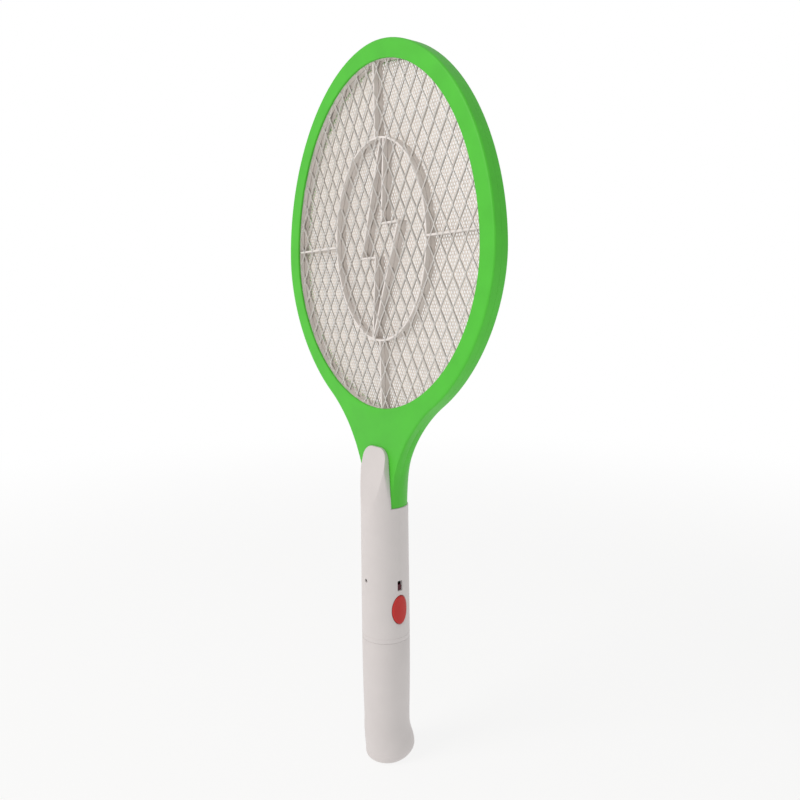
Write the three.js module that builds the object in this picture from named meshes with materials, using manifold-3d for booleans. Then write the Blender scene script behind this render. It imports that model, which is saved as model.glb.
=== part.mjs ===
// Electric bug zapper: a racket with three high voltage grids in an oval green head, on a round
// white handle that holds the circuit, a push button, a slide switch and a charging plug under a
// pull-off grip. Millimetres, +Z up to the head, front of the racket towards -Y, button towards
// +X. The origin is the centre of the flat bottom end of the grip. Heights in this file are
// measured from a datum gripEnd below that, and the last lines move the racket down by as much.

import * as THREE from 'three';
import { mergeVertices } from 'three/addons/utils/BufferGeometryUtils.js';
import Module from 'manifold-3d';

const wasm = await Module();
wasm.setup();

// ---- Driving dimensions -------------------------------------------------------------------

const gripEnd = 3.8;
const headTop = 475;
const headCentre = 346.3; // height of the widest line of the head
const headOval = { side: 105.8, up: headTop - headCentre, down: 110.9, bendUp: 1.93, bendDown: 1.85 };
const windowOval = { side: 94, up: 117.3, down: 97.6, bendUp: 1.97, bendDown: 1.91 };
const headDepth = 10.6;
const faceThickness = 1.4; // flat front and back of the rim
const rimWall = 2.4;
const partingGap = 0.3; // between front and back shells
const touchGap = 0.05; // between flat faces that rest on each other

const neckBlendAngle = -57.5; // degrees on the head oval where the neck curve starts
const neckBottom = 184.3;
const neckHalf = 14; // half width of the flat plate where it meets the handle
const neckRadius = 15.3;
const neckBackTop = 230; // where the round back of the neck dies into the flat plate
const spigotRadius = 13.3;
const spigotBore = 10.8;
const spigotBottom = 160;
const wireway = { halfWidth: 6, halfDepth: 3.1 };

const gridThickness = 0.35;
const gridPitch = { across: 31.8, up: 58.2 }; // width and height of one diamond
const gridStrand = 2.4;
const smallestHole = 30; // square millimetres; smaller clipped diamonds are left closed
const ribThickness = 1.2;
const ringOval = { side: 47.35, up: 63.4, x: 1, centre: 355.6 };
const barHeight = 354.9;
const barSide = 0.4; // how far the upright bars stand to the right of the middle
const boltTop = { left: 6, right: 8.9 };
const boltUpper = { z: 366, left: 4.8, right: 21.5 };
const boltLower = { z: 345.5, left: -17, right: -2.2 };
const boltTip = -7;
const patternTurn = 1.2; // degrees that the rib pattern sits turned in the head

const gripTop = 91.9;
const handleBottom = 92.2;
const handleTop = 184;
const handleWall = 2.2;
const handleRadius = 16.3;
const handleTopRadius = 15.9;
const handleBore = 13.9;
const tongueTop = 223.4;
const tongueFootHalf = 15; // half width where the tongue leaves the round handle
const tongueHalf = 12.1; // half width where the rounded corners start
const tongueCorner = 8;
const facet = { low: 181, slope: 0.211 }; // flat slanted front of the tongue
const tongueBack = 5.45;
const tongueBore = 10.8;

const heel = { shift: 2.45, low: 3.8, high: 29, peak: 10.8 };
const gripProfile = [
  [9.9, gripEnd], [12.6, 4.3], [14.9, 5.9], [16.3, 8.1], [16.9, 10.5], [17.1, 13], [16.9, 17.5],
  [16.1, 24.5], [15.65, 33], [16, 53], [16.25, 70], [16.3, 91.3], [15.8, 91.9],
];
const gripBore = 13.8;
const gripFloor = 7.4;

const buttonHeight = 114.7;
const buttonOval = { halfY: 5.9, halfZ: 9.8 };
const buttonCrown = 16.85;
const buttonFlange = { low: 10.8, high: 12, halfY: 6.2, halfZ: 12 };
const switchHeight = 131.3;
const switchSlot = { y: 3.8, z: 6.8 };
const knobSize = { y: 3.1, z: 3.6 };
const knobFace = 15.3;
const ledHeight = 133.9;
const ledHole = 1.25;

const board = { low: 4, high: 5.6, halfY: 11.5, bottom: 107, top: 158 };
const carrier = {
  radius: 13.2, bore: 11.8, bottom: 42, top: 98, flange: 15, flangeLow: 94, flangeHigh: 96,
};
const battery = { x: 19, y: 12, bottom: 47.6, top: 90.5 };
const pin = { width: 6.3, thickness: 1.5, spacing: 12.7, bottom: 25, top: 45 };
const chargerBoard = { radius: 11, low: 45.3, high: 46.5 };

const headScrewAngles = [22, 56, 90, 124, 158, 202, 240, 300, 338];
const stackInset = 8.3; // the stack of grids and spacers lies inside the ring of screws
const headScrewInset = 5.6;
const screwShaft = 0.8;
const bossRadius = 2;
const leadRadius = 0.7;
const handleScrewHeights = [101.5, 172];
const handleScrewHead = 2.6;

// Sides used for round outlines, from the large ovals down to the small pins
const ovalSides = 48;
const barrelSides = 32;
const boreSides = 24;
const smallSides = 8;

// ---- Materials ------------------------------------------------------------------------------

function material(color, roughness, metalness = 0) {
  return new THREE.MeshStandardMaterial({ color, roughness, metalness });
}

const greenPlastic = material(0x55b83c, 0.4);
const whitePlastic = material(0xdcd6d2, 0.45);
const greyPlastic = material(0xaba6a0, 0.5);
const redPlastic = material(0xb23c38, 0.4);
const darkRedPlastic = material(0x6a2b36, 0.45);
const blackPlastic = material(0x222222, 0.5);
const gridWire = material(0xd0cdc8, 0.35, 0.8);
const steel = material(0x9a9c9e, 0.35, 0.9);
const brass = material(0xc9a95a, 0.3, 0.9);
const boardGreen = material(0x2f6b3c, 0.6);
const clearLens = material(0xd8e8dc, 0.2);
const ferrite = material(0x3b3b3d, 0.7);
const copperTape = material(0xd9b23c, 0.5);
const capacitorBrown = material(0x8a4a26, 0.45);
const batteryGrey = material(0x53585f, 0.5);
const redLead = material(0xb02a22, 0.5);
const blackLead = material(0x1d1d1f, 0.5);

// ---- Helpers --------------------------------------------------------------------------------

function solid(geometry) {
  const bare = geometry.clone();
  bare.deleteAttribute('normal');
  bare.deleteAttribute('uv');
  const welded = mergeVertices(bare, 1e-4);
  return new wasm.Manifold(new wasm.Mesh({
    numProp: 3,
    vertProperties: new Float32Array(welded.attributes.position.array),
    triVerts: new Uint32Array(welded.index.array),
  }));
}

function geometryOf(body) {
  const data = body.getMesh();
  const geometry = new THREE.BufferGeometry();
  geometry.setAttribute('position', new THREE.BufferAttribute(new Float32Array(data.vertProperties), 3));
  geometry.setIndex(new THREE.BufferAttribute(new Uint32Array(data.triVerts), 1));
  geometry.computeVertexNormals();
  return geometry;
}

function node(name, shape, look) {
  const geometry = shape.isBufferGeometry ? shape : geometryOf(shape);
  const mesh = new THREE.Mesh(geometry, look);
  mesh.name = name;
  return mesh;
}

function placed(mesh, x, y, z) {
  mesh.position.set(x, y, z);
  return mesh;
}

function extruded(outline, depth, holes = []) {
  const shape = outline instanceof THREE.Shape ? outline : new THREE.Shape(outline);
  for (const hole of holes) shape.holes.push(new THREE.Path(hole));
  return new THREE.ExtrudeGeometry(shape, { depth, bevelEnabled: false, curveSegments: 10 });
}

// An outline in (x, z), standing between two y values.
function prismAlongY(outline, front, back, holes) {
  const geometry = extruded(outline, back - front, holes);
  geometry.rotateX(Math.PI / 2);
  geometry.translate(0, back, 0);
  return geometry;
}

// An outline in (y, z), standing between two x values.
function prismAlongX(outline, low, high, holes) {
  const geometry = extruded(outline, high - low, holes);
  const basis = new THREE.Matrix4();
  basis.makeBasis(new THREE.Vector3(0, 1, 0), new THREE.Vector3(0, 0, 1), new THREE.Vector3(1, 0, 0));
  geometry.applyMatrix4(basis);
  geometry.translate(low, 0, 0);
  return geometry;
}

// A profile of [radius, height] pairs from the bottom up, turned about Z.
function turned(profile, segments) {
  const points = profile.map(([radius, height]) => new THREE.Vector2(radius, height));
  const geometry = new THREE.LatheGeometry(points, segments);
  geometry.rotateX(Math.PI / 2);
  return geometry;
}

function rod(radius, low, high, segments = 24) {
  return turned([[0, low], [radius, low], [radius, high], [0, high]], segments);
}

function rodAlongY(radius, front, back, x, z, segments = smallSides) {
  const geometry = new THREE.CylinderGeometry(radius, radius, back - front, segments);
  geometry.translate(x, (front + back) / 2, z);
  return geometry;
}

function box(low, high) {
  const geometry = new THREE.BoxGeometry(high[0] - low[0], high[1] - low[1], high[2] - low[2]);
  geometry.translate((low[0] + high[0]) / 2, (low[1] + high[1]) / 2, (low[2] + high[2]) / 2);
  return geometry;
}

function rectangle(halfU, lowV, highV) {
  return [[-halfU, lowV], [halfU, lowV], [halfU, highV], [-halfU, highV]]
    .map(([u, v]) => new THREE.Vector2(u, v));
}

function ellipse(halfU, halfV, centreV, count, centreU = 0) {
  const points = [];
  for (let i = 0; i < count; i += 1) {
    const angle = (i / count) * 2 * Math.PI;
    points.push(new THREE.Vector2(centreU + halfU * Math.cos(angle), centreV + halfV * Math.sin(angle)));
  }
  return points;
}

// A point of an egg-shaped oval about the head centre, shrunk inwards by inset.
function ovalPoint(oval, inset, degrees) {
  const angle = THREE.MathUtils.degToRad(degrees);
  const across = Math.cos(angle);
  const up = Math.sin(angle);
  const bend = 2 / (up >= 0 ? oval.bendUp : oval.bendDown);
  const reach = (up >= 0 ? oval.up : oval.down) - inset;
  const x = (oval.side - inset) * Math.sign(across) * Math.abs(across) ** bend;
  const z = headCentre + reach * Math.sign(up) * Math.abs(up) ** bend;
  return new THREE.Vector2(x, z);
}

function ovalOutline(oval, inset, count) {
  const points = [];
  for (let i = 0; i < count; i += 1) points.push(ovalPoint(oval, inset, (i / count) * 360));
  return points;
}

const wide = 300; // reaches past the whole racket

function frontHalf(body) {
  return body.intersect(solid(box([-wide, -wide, -wide], [wide, -partingGap / 2, 2 * wide])));
}

function backHalf(body) {
  return body.intersect(solid(box([-wide, partingGap / 2, -wide], [wide, wide, 2 * wide])));
}

function tubeAlong(points, radius, steps) {
  const section = new THREE.Shape(ellipse(radius, radius, 0, 6));
  const path = new THREE.CatmullRomCurve3(points.map((p) => new THREE.Vector3(...p)));
  return new THREE.ExtrudeGeometry(section, { steps, extrudePath: path, bevelEnabled: false });
}

// ---- Head shells ----------------------------------------------------------------------------

// Outline of the flat head plate: the oval, with a concave curve down each side of the neck.
function headOutline() {
  const start = ovalPoint(headOval, 0, neckBlendAngle);
  const before = ovalPoint(headOval, 0, neckBlendAngle + 1);
  const downOval = start.clone().sub(before).normalize();
  const curve = new THREE.CubicBezierCurve(
    start,
    start.clone().addScaledVector(downOval, 24),
    new THREE.Vector2(neckHalf, 214),
    new THREE.Vector2(neckHalf, neckBottom),
  );
  const rightSide = curve.getPoints(9).reverse();
  const points = rightSide.slice(0, -1);
  const ovalSteps = ovalSides;
  const sweep = 180 - 2 * neckBlendAngle;
  for (let i = 0; i <= ovalSteps; i += 1) {
    points.push(ovalPoint(headOval, 0, neckBlendAngle + (sweep * i) / ovalSteps));
  }
  const leftSide = rightSide.slice(0, -1).reverse().map((p) => new THREE.Vector2(-p.x, p.y));
  return points.concat(leftSide);
}

// Round stem under the plate, flat in front where the tongue of the handle lies on it.
function neckStem() {
  const half = headDepth / 2;
  const stem = solid(rod(neckRadius, neckBottom, neckBackTop, barrelSides));
  const side = [
    new THREE.Vector2(-half, neckBottom - 1),
    new THREE.Vector2(neckRadius + 1, neckBottom - 1),
    new THREE.Vector2(neckRadius + 1, neckBottom),
    new THREE.Vector2(half, neckBackTop),
    new THREE.Vector2(-half, neckBackTop),
  ];
  return stem.intersect(solid(prismAlongX(side, -wide, wide)));
}

function screwSpots() {
  return headScrewAngles.map((angle) => ovalPoint(headOval, headScrewInset, angle));
}

function headBody() {
  const half = headDepth / 2;
  const inside = half - faceThickness;
  let body = solid(prismAlongY(headOutline(), -half, half));
  body = body.add(neckStem());
  const spigot = solid(rod(spigotRadius, spigotBottom, neckBottom + 0.5, boreSides));
  body = body.add(spigot.subtract(frontCut(handleWall + partingGap)));
  body = body.subtract(solid(rod(spigotBore, spigotBottom - 1, neckBottom - 4, boreSides)));
  body = body.subtract(solid(prismAlongY(ovalOutline(windowOval, 0, ovalSides), -half - 1, half + 1)));
  body = body.subtract(solid(prismAlongY(ovalOutline(headOval, rimWall, ovalSides), -inside, inside)));
  body = body.subtract(solid(box(
    [-wireway.halfWidth, -wireway.halfDepth, spigotBottom],
    [wireway.halfWidth, wireway.halfDepth, headCentre - headOval.down + 4],
  )));
  const neckScrewHole = rodAlongY(2.7, -wide, wide, 0, handleScrewHeights[1]);
  return body.subtract(solid(neckScrewHole));
}

// The front shell carries a boss for each screw; the back shell has the countersunk holes.
function headShells() {
  const half = headDepth / 2;
  const inside = half - faceThickness;
  const body = headBody();
  let front = frontHalf(body);
  let back = backHalf(body);
  for (const spot of screwSpots()) {
    const boss = solid(rodAlongY(bossRadius, -inside - 0.5, -partingGap / 2, spot.x, spot.y));
    const pilot = solid(rodAlongY(1, -inside, 1, spot.x, spot.y));
    front = front.add(boss).subtract(pilot);
    back = back.subtract(solid(rodAlongY(1.2, 0, half + 1, spot.x, spot.y)));
    back = back.subtract(solid(rodAlongY(2.3, half - 0.8, half + 1, spot.x, spot.y)));
  }
  return [
    node('head_front_shell', front, greenPlastic),
    node('head_back_shell', back, greenPlastic),
  ];
}

function headScrews() {
  const half = headDepth / 2;
  const profile = [[0, -7.6], [screwShaft, -7.6], [screwShaft, -0.75], [2, -0.75], [2, -0.1], [0, -0.1]];
  return screwSpots().map((spot, index) => {
    const screw = node(`head_screw_${index + 1}`, turned(profile, smallSides), steel);
    screw.rotation.x = -Math.PI / 2;
    return placed(screw, spot.x, half, spot.y);
  });
}

// ---- Grids and spacers ----------------------------------------------------------------------

function cutAll(body, cutters) {
  return cutters.reduce((left, cutter) => left.subtract(cutter), body);
}

// Diamonds of open space between the strands, clipped to the window.
function diamondHoles(front, back) {
  const opening = solid(prismAlongY(ovalOutline(windowOval, 1, ovalSides), front, back));
  const halfX = gridPitch.across / 2 - gridStrand / 2;
  const halfZ = gridPitch.up / 2 - gridStrand;
  const rows = Math.ceil(headOval.up / gridPitch.up) * 2;
  const columns = Math.ceil(headOval.side / gridPitch.across);
  const holes = [];
  for (let row = -rows; row <= rows; row += 1) {
    for (let column = -columns; column <= columns; column += 1) {
      const x = gridPitch.across * (column + (row % 2 === 0 ? 0 : 0.5));
      const z = ringOval.centre + (gridPitch.up / 2) * row;
      const corners = [[halfX, 0], [0, halfZ], [-halfX, 0], [0, -halfZ]];
      const points = corners.map(([dx, dz]) => new THREE.Vector2(x + dx, z + dz));
      const hole = solid(prismAlongY(points, front, back)).intersect(opening);
      if (hole.volume() > smallestHole * (back - front)) holes.push(hole);
    }
  }
  return holes;
}

function grid(name, middle) {
  const front = middle - gridThickness / 2;
  const back = middle + gridThickness / 2;
  const outline = ovalOutline(headOval, stackInset + 0.2, ovalSides);
  const sheet = solid(prismAlongY(outline, front, back));
  return node(name, cutAll(sheet, diamondHoles(front - 1, back + 1)), gridWire);
}

// A piece of the rib pattern, turned with the pattern about the middle of its bars.
function patternPiece(outline, front, back, holes) {
  const geometry = prismAlongY(outline, front, back, holes);
  geometry.translate(0, 0, -barHeight);
  geometry.rotateY(THREE.MathUtils.degToRad(-patternTurn));
  geometry.translate(0, 0, barHeight);
  return solid(geometry);
}

// A thin upright wall along a line of the pattern, from the front to the back of its spacer.
function rib(from, to, front, back) {
  const start = new THREE.Vector2(...from);
  const end = new THREE.Vector2(...to);
  const along = end.clone().sub(start).normalize();
  const across = new THREE.Vector2(-along.y, along.x).multiplyScalar(ribThickness / 2);
  const reach = along.clone().multiplyScalar(ribThickness / 2);
  const outline = [
    start.clone().sub(reach).sub(across),
    end.clone().add(reach).sub(across),
    end.clone().add(reach).add(across),
    start.clone().sub(reach).add(across),
  ];
  return patternPiece(outline, front, back);
}

function ringHeight(x, sign) {
  const share = (x - ringOval.x) / ringOval.side;
  return ringOval.centre + sign * (ringOval.up - ribThickness / 2) * Math.sqrt(1 - share ** 2);
}

function ribLines() {
  const rim = 2; // how far the bars run into the rim
  const top = headCentre + windowOval.up + rim;
  const bottom = headCentre - windowOval.down - rim;
  const side = windowOval.side + rim;
  return [
    [[barSide, ringHeight(barSide, 1)], [barSide, top]],
    [[barSide, ringHeight(barSide, -1)], [barSide, bottom]],
    [[ringOval.x - ringOval.side + 1, barHeight], [-side, barHeight]],
    [[ringOval.x + ringOval.side - 1, barHeight], [side, barHeight]],
    [[boltTop.right, ringHeight(boltTop.right, 1)], [boltUpper.left, boltUpper.z]],
    [[boltUpper.left, boltUpper.z], [boltUpper.right, boltUpper.z]],
    [[boltUpper.right, boltUpper.z], [boltTip, ringHeight(boltTip, -1)]],
    [[boltTop.left, ringHeight(boltTop.left, 1)], [boltLower.left, boltLower.z]],
    [[boltLower.left, boltLower.z], [boltLower.right, boltLower.z]],
    [[boltLower.right, boltLower.z], [boltTip, ringHeight(boltTip, -1)]],
  ];
}

function spacer(name, front, back) {
  const { side, up, x, centre } = ringOval;
  const rimOuter = ovalOutline(headOval, stackInset, ovalSides);
  const rimInner = ovalOutline(windowOval, -0.5, ovalSides);
  const ringOuter = ellipse(side, up, centre, barrelSides, x);
  const ringInner = ellipse(side - ribThickness, up - ribThickness, centre, barrelSides, x);
  let body = solid(prismAlongY(rimOuter, front, back, [rimInner]));
  body = body.add(patternPiece(ringOuter, front, back, [ringInner]));
  for (const [from, to] of ribLines()) body = body.add(rib(from, to, front, back));
  return node(name, body, greyPlastic);
}

function headStack() {
  const inside = headDepth / 2 - faceThickness;
  const outerGrid = inside - touchGap - gridThickness / 2;
  const spacerOut = outerGrid - gridThickness / 2 - touchGap;
  const spacerIn = gridThickness / 2 + touchGap;
  return [
    grid('front_grid', -outerGrid),
    spacer('front_spacer', -spacerOut, -spacerIn),
    grid('middle_grid', 0),
    spacer('back_spacer', spacerIn, spacerOut),
    grid('back_grid', outerGrid),
  ];
}

// High voltage leads from the board, past the neck screw and up to the lower edge of each grid.
function gridLeads() {
  const end = headCentre - headOval.down + rimWall + 0.1;
  const frontRoute = [[4.8, -5, 158.8], [5.4, -4, 166], [4.4, -2, 178], [3.6, -1.7, 188], [3.6, -1.7, end]];
  const middleRoute = [[4.8, 0, 158.8], [4.6, 0, 166], [4.2, 0, 178], [0.8, 0, 188], [0, 0, end]];
  const backRoute = [[4.8, 5, 158.8], [-5, 4, 166], [-4.4, 2, 178], [-3.6, 1.7, 188], [-3.6, 1.7, end]];
  return [
    node('front_grid_lead', tubeAlong(frontRoute, leadRadius, 16), redLead),
    node('middle_grid_lead', tubeAlong(middleRoute, leadRadius, 16), blackLead),
    node('back_grid_lead', tubeAlong(backRoute, leadRadius, 16), redLead),
  ];
}

// ---- Handle shells --------------------------------------------------------------------------

function facetFront(z) {
  return -handleTopRadius + (z - facet.low) * facet.slope;
}

function tongueOutline() {
  const shape = new THREE.Shape();
  shape.moveTo(-wide, handleBottom - 1);
  shape.lineTo(wide, handleBottom - 1);
  shape.lineTo(wide, handleTop);
  shape.lineTo(tongueFootHalf, handleTop);
  shape.lineTo(tongueHalf, tongueTop - tongueCorner);
  shape.absarc(tongueHalf - tongueCorner, tongueTop - tongueCorner, tongueCorner, 0, Math.PI / 2);
  shape.absarc(tongueCorner - tongueHalf, tongueTop - tongueCorner, tongueCorner, Math.PI / 2, Math.PI);
  shape.lineTo(-tongueFootHalf, handleTop);
  shape.lineTo(-wide, handleTop);
  return shape;
}

// Everything in front of the slanted facet, moved back by inset.
function frontCut(inset) {
  const low = facet.low - 40;
  const high = tongueTop + 20;
  return solid(prismAlongX([
    new THREE.Vector2(facetFront(low) + inset, low),
    new THREE.Vector2(facetFront(high) + inset, high),
    new THREE.Vector2(-wide, high),
    new THREE.Vector2(-wide, low),
  ], -wide, wide));
}

function handleBody() {
  const outer = turned([
    [0, handleBottom], [handleRadius, handleBottom], [16.2, 121], [16, 151],
    [handleTopRadius, 178], [handleTopRadius, tongueTop + 5], [0, tongueTop + 5],
  ], barrelSides);
  let body = solid(outer).subtract(frontCut(0));
  body = body.intersect(solid(prismAlongY(tongueOutline(), -wide, wide)));
  body = body.subtract(solid(box([-wide, -tongueBack, handleTop], [wide, wide, tongueTop + 9])));
  const tongueHollow = solid(rod(tongueBore, handleTop - 1, tongueTop - 4, boreSides));
  body = body.subtract(solid(rod(handleBore, handleBottom - 1, handleTop + 1, boreSides)));
  body = body.subtract(tongueHollow.subtract(frontCut(handleWall)));
  const groove = rod(carrier.flange + 0.3, carrier.flangeLow - 0.3, carrier.flangeHigh + 0.3, boreSides);
  return body.subtract(solid(groove));
}

function buttonHole() {
  const outline = ellipse(buttonOval.halfY + 0.3, buttonOval.halfZ + 0.3, buttonHeight, 24);
  return solid(prismAlongX(outline, 0, wide));
}

function slotHole() {
  const half = switchSlot.z / 2;
  const outline = rectangle(switchSlot.y / 2, switchHeight - half, switchHeight + half);
  return solid(prismAlongX(outline, 0, wide));
}

function handleShells() {
  const body = handleBody().subtract(buttonHole()).subtract(slotHole());
  let front = frontHalf(body).subtract(solid(rodAlongY(ledHole, -wide, 0, 0, ledHeight, 16)));
  let back = backHalf(body);
  for (const z of handleScrewHeights) {
    front = front.add(solid(rodAlongY(2.2, -14.5, -0.3, 0, z, 12)));
    front = front.subtract(solid(rodAlongY(1.3, -12.5, 1, 0, z)));
    const reach = z === handleScrewHeights[0] ? 1 : spigotRadius + 0.3;
    back = back.add(solid(rodAlongY(3.4, reach, 14.6, 0, z, 12)));
    back = back.subtract(solid(rodAlongY(1.6, 0, 20, 0, z)));
    back = back.subtract(solid(rodAlongY(handleScrewHead + 0.3, 14, 20, 0, z, 12)));
  }
  return [
    node('handle_front_shell', front, whitePlastic),
    node('handle_back_shell', back, whitePlastic),
  ];
}

function handleScrews() {
  const head = handleScrewHead;
  const profile = [[0, -24], [1.1, -24], [1.1, 0.1], [head, 0.1], [head, 1.3], [0, 1.3]];
  return handleScrewHeights.map((z, index) => {
    const screw = node(`handle_screw_${index + 1}`, turned(profile, 12), steel);
    screw.rotation.x = -Math.PI / 2;
    return placed(screw, 0, 14, z);
  });
}

// ---- Pull-off grip --------------------------------------------------------------------------

// The bottom of the grip leans back into a heel.
function heelShift(z) {
  if (z <= heel.low || z >= heel.high) return 0;
  const rising = (z - heel.low) / (heel.peak - heel.low);
  const falling = (heel.high - z) / (heel.high - heel.peak);
  const share = Math.min(rising, falling);
  return heel.shift * share * share * (3 - 2 * share);
}

function gripCap() {
  const outer = turned([[0, gripEnd], ...gripProfile, [0, gripTop]], barrelSides);
  const position = outer.attributes.position;
  for (let i = 0; i < position.count; i += 1) {
    position.setY(i, position.getY(i) + heelShift(position.getZ(i)));
  }
  const bore = rod(gripBore, gripFloor, gripTop + 1, boreSides);
  return node('grip_cap', solid(outer).subtract(solid(bore)), whitePlastic);
}

// ---- Plug carrier, battery and pins ---------------------------------------------------------

function plugCarrier() {
  const { radius, bore, bottom, top, flange, flangeLow, flangeHigh } = carrier;
  const floor = bottom + 2.2;
  const body = solid(turned([
    [0, bottom], [radius - 1, bottom], [radius, bottom + 1], [radius, flangeLow], [flange, flangeLow],
    [flange, flangeHigh], [radius, flangeHigh], [radius, top], [bore, top], [bore, floor], [0, floor],
  ], boreSides));
  const slots = [-1, 1].map((side) => solid(box(
    [side * pin.spacing / 2 - pin.thickness / 2 - 0.3, -pin.width / 2 - 0.3, bottom - 1],
    [side * pin.spacing / 2 + pin.thickness / 2 + 0.3, pin.width / 2 + 0.3, bottom + 3],
  )));
  return node('plug_carrier', cutAll(body, slots), whitePlastic);
}

function plugPins() {
  return ['plug_pin_left', 'plug_pin_right'].map((name, index) => {
    const side = index * 2 - 1;
    const half = pin.width / 2;
    const tip = 2;
    const outline = [
      [-half + tip, pin.bottom], [half - tip, pin.bottom], [half, pin.bottom + tip],
      [half, pin.top], [-half, pin.top], [-half, pin.bottom + tip],
    ].map(([y, z]) => new THREE.Vector2(y, z));
    const blade = node(name, prismAlongX(outline, -pin.thickness / 2, pin.thickness / 2), brass);
    return placed(blade, (side * pin.spacing) / 2, 0, 0);
  });
}

function powerPack() {
  const { low, high, radius } = chargerBoard;
  const half = new THREE.Vector2(battery.x / 2, battery.y / 2);
  const cell = box([-half.x, -half.y, battery.bottom], [half.x, half.y, battery.top]);
  const leads = [
    ['battery_lead_positive', 1, redLead],
    ['battery_lead_negative', -1, blackLead],
  ].map(([name, side, look]) => {
    const route = [[5, 4 * side, 90.9], [5.2, 6 * side, 97], [4.8, 7 * side, 102], [4.8, 7 * side, 106.6]];
    return node(name, tubeAlong(route, leadRadius, 6), look);
  });
  return [
    node('charger_board', rod(radius, low, high, 20), boardGreen),
    node('battery', cell, batteryGrey),
    ...leads,
  ];
}

// ---- Circuit --------------------------------------------------------------------------------

function circuitBoard() {
  const outline = rectangle(board.halfY, board.bottom, board.top);
  return node('circuit_board', prismAlongX(outline, board.low, board.high), boardGreen);
}

function transformer() {
  const core = prismAlongX(rectangle(6, -6, 6), -4.5, 4.5, [rectangle(3.5, -4.3, 4.3)]);
  const winding = prismAlongX(rectangle(3.2, -4, 4), -5.4, 5.2);
  const x = board.low - touchGap - 5.2;
  return [
    placed(node('transformer_core', core, ferrite), x, 3.5, 116),
    placed(node('transformer_winding', winding, copperTape), x, 3.5, 116),
  ];
}

function smallParts() {
  const face = board.low - touchGap;
  const capacitor = box([-10, -3.5, -9], [0, 3.5, 9]);
  const leg = 0.35;
  const profile = [
    [0, -4.5], [leg, -4.5], [leg, -2.3], [1.3, -2.3], [1.3, 2.3], [leg, 2.3], [leg, 4.5], [0, 4.5],
  ];
  const parts = [
    placed(node('high_voltage_capacitor', capacitor, capacitorBrown), face, -6.5, 136),
    placed(node('transistor', rod(2.3, -2.5, 2.5, 12), blackPlastic), face - 2.4, -6.5, 151.5),
  ];
  const spots = [[1.5, 130], [6, 130], [1.5, 140.5], [6, 140.5]];
  spots.forEach(([y, z], index) => {
    const diode = node(`diode_${index + 1}`, turned(profile, 8), blackPlastic);
    parts.push(placed(diode, face - 1.4, y, z));
  });
  [[3, 151.5], [7, 151.5]].forEach(([y, z], index) => {
    const resistor = node(`resistor_${index + 1}`, turned(profile, 8), copperTape);
    parts.push(placed(resistor, face - 1.4, y, z));
  });
  return parts;
}

// Lamp body behind its hole, with two bent legs that reach back to the board.
function indicatorLamp() {
  const lens = new THREE.LatheGeometry([
    [0, 0], [1.5, 0], [1.5, 0.8], [1, 0.8], [1, 2.2], [0.7, 2.7], [0, 2.9],
  ].map(([r, h]) => new THREE.Vector2(r, h)), 12);
  lens.rotateX(Math.PI);
  lens.translate(0, -12.6, ledHeight);
  let lamp = solid(lens);
  for (const z of [ledHeight - 0.8, ledHeight + 0.8]) {
    lamp = lamp.add(solid(box([-0.25, -12.8, z - 0.25], [0.25, -10.6, z + 0.25])));
    lamp = lamp.add(solid(box([-0.25, -11.1, z - 0.25], [board.low - touchGap, -10.6, z + 0.25])));
  }
  return node('indicator_led', lamp, clearLens);
}

// ---- Button and switch ----------------------------------------------------------------------

function buttonCap() {
  const oval = ellipse(buttonOval.halfY, buttonOval.halfZ, buttonHeight, boreSides);
  const crown = solid(rod(buttonCrown, buttonHeight - 15, buttonHeight + 15, ovalSides));
  const flangeOutline = rectangle(
    buttonFlange.halfY, buttonHeight - buttonFlange.halfZ, buttonHeight + buttonFlange.halfZ,
  );
  let cap = solid(prismAlongX(oval, buttonFlange.low, 20)).intersect(crown);
  cap = cap.add(solid(prismAlongX(flangeOutline, buttonFlange.low, buttonFlange.high)));
  return node('button_cap', cap, redPlastic);
}

function tactSwitch() {
  const base = board.high + touchGap;
  const outline = rectangle(3, buttonHeight - 3, buttonHeight + 3);
  const well = solid(prismAlongX(ellipse(2, 2, buttonHeight, 16), base + 1, base + 9));
  const body = solid(prismAlongX(outline, base, 9.1)).subtract(well);
  const plunger = prismAlongX(ellipse(1.7, 1.7, buttonHeight, 12), 8.4, buttonFlange.low - 0.3);
  return [
    node('tact_switch_body', body, blackPlastic),
    node('tact_plunger', plunger, redPlastic),
  ];
}

function buttonSpring() {
  const turns = 3.5;
  const radius = 5;
  const start = board.high + 0.6;
  const end = buttonFlange.low - 0.5;
  const coil = new THREE.Curve();
  coil.getPoint = (t) => {
    const angle = t * turns * 2 * Math.PI;
    const [y, z] = [radius * Math.cos(angle), radius * Math.sin(angle)];
    return new THREE.Vector3(start + (end - start) * t, y, buttonHeight + z);
  };
  const section = new THREE.Shape(ellipse(0.3, 0.3, 0, 6));
  const spring = new THREE.ExtrudeGeometry(section, { steps: 32, extrudePath: coil, bevelEnabled: false });
  return node('button_spring', spring, steel);
}

function slideSwitch() {
  const base = board.high + touchGap;
  const top = 9.4;
  const outline = rectangle(3, switchHeight - 5.2, switchHeight + 5.2);
  const channel = rectangle(1.9, switchHeight - 4, switchHeight + 4);
  const block = solid(prismAlongX(outline, base, top));
  const body = block.subtract(solid(prismAlongX(channel, base + 1.2, top + 1)));
  const knobLow = switchHeight - switchSlot.z / 2 + 0.2;
  const knobOutline = rectangle(knobSize.y / 2, knobLow, knobLow + knobSize.z);
  return [
    node('slide_switch_body', body, steel),
    node('slide_switch_knob', prismAlongX(knobOutline, base + 1.5, knobFace), darkRedPlastic),
  ];
}

// ---- Assembly -------------------------------------------------------------------------------

function assembly(...meshes) {
  const group = new THREE.Group();
  group.add(...meshes);
  return group;
}

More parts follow.
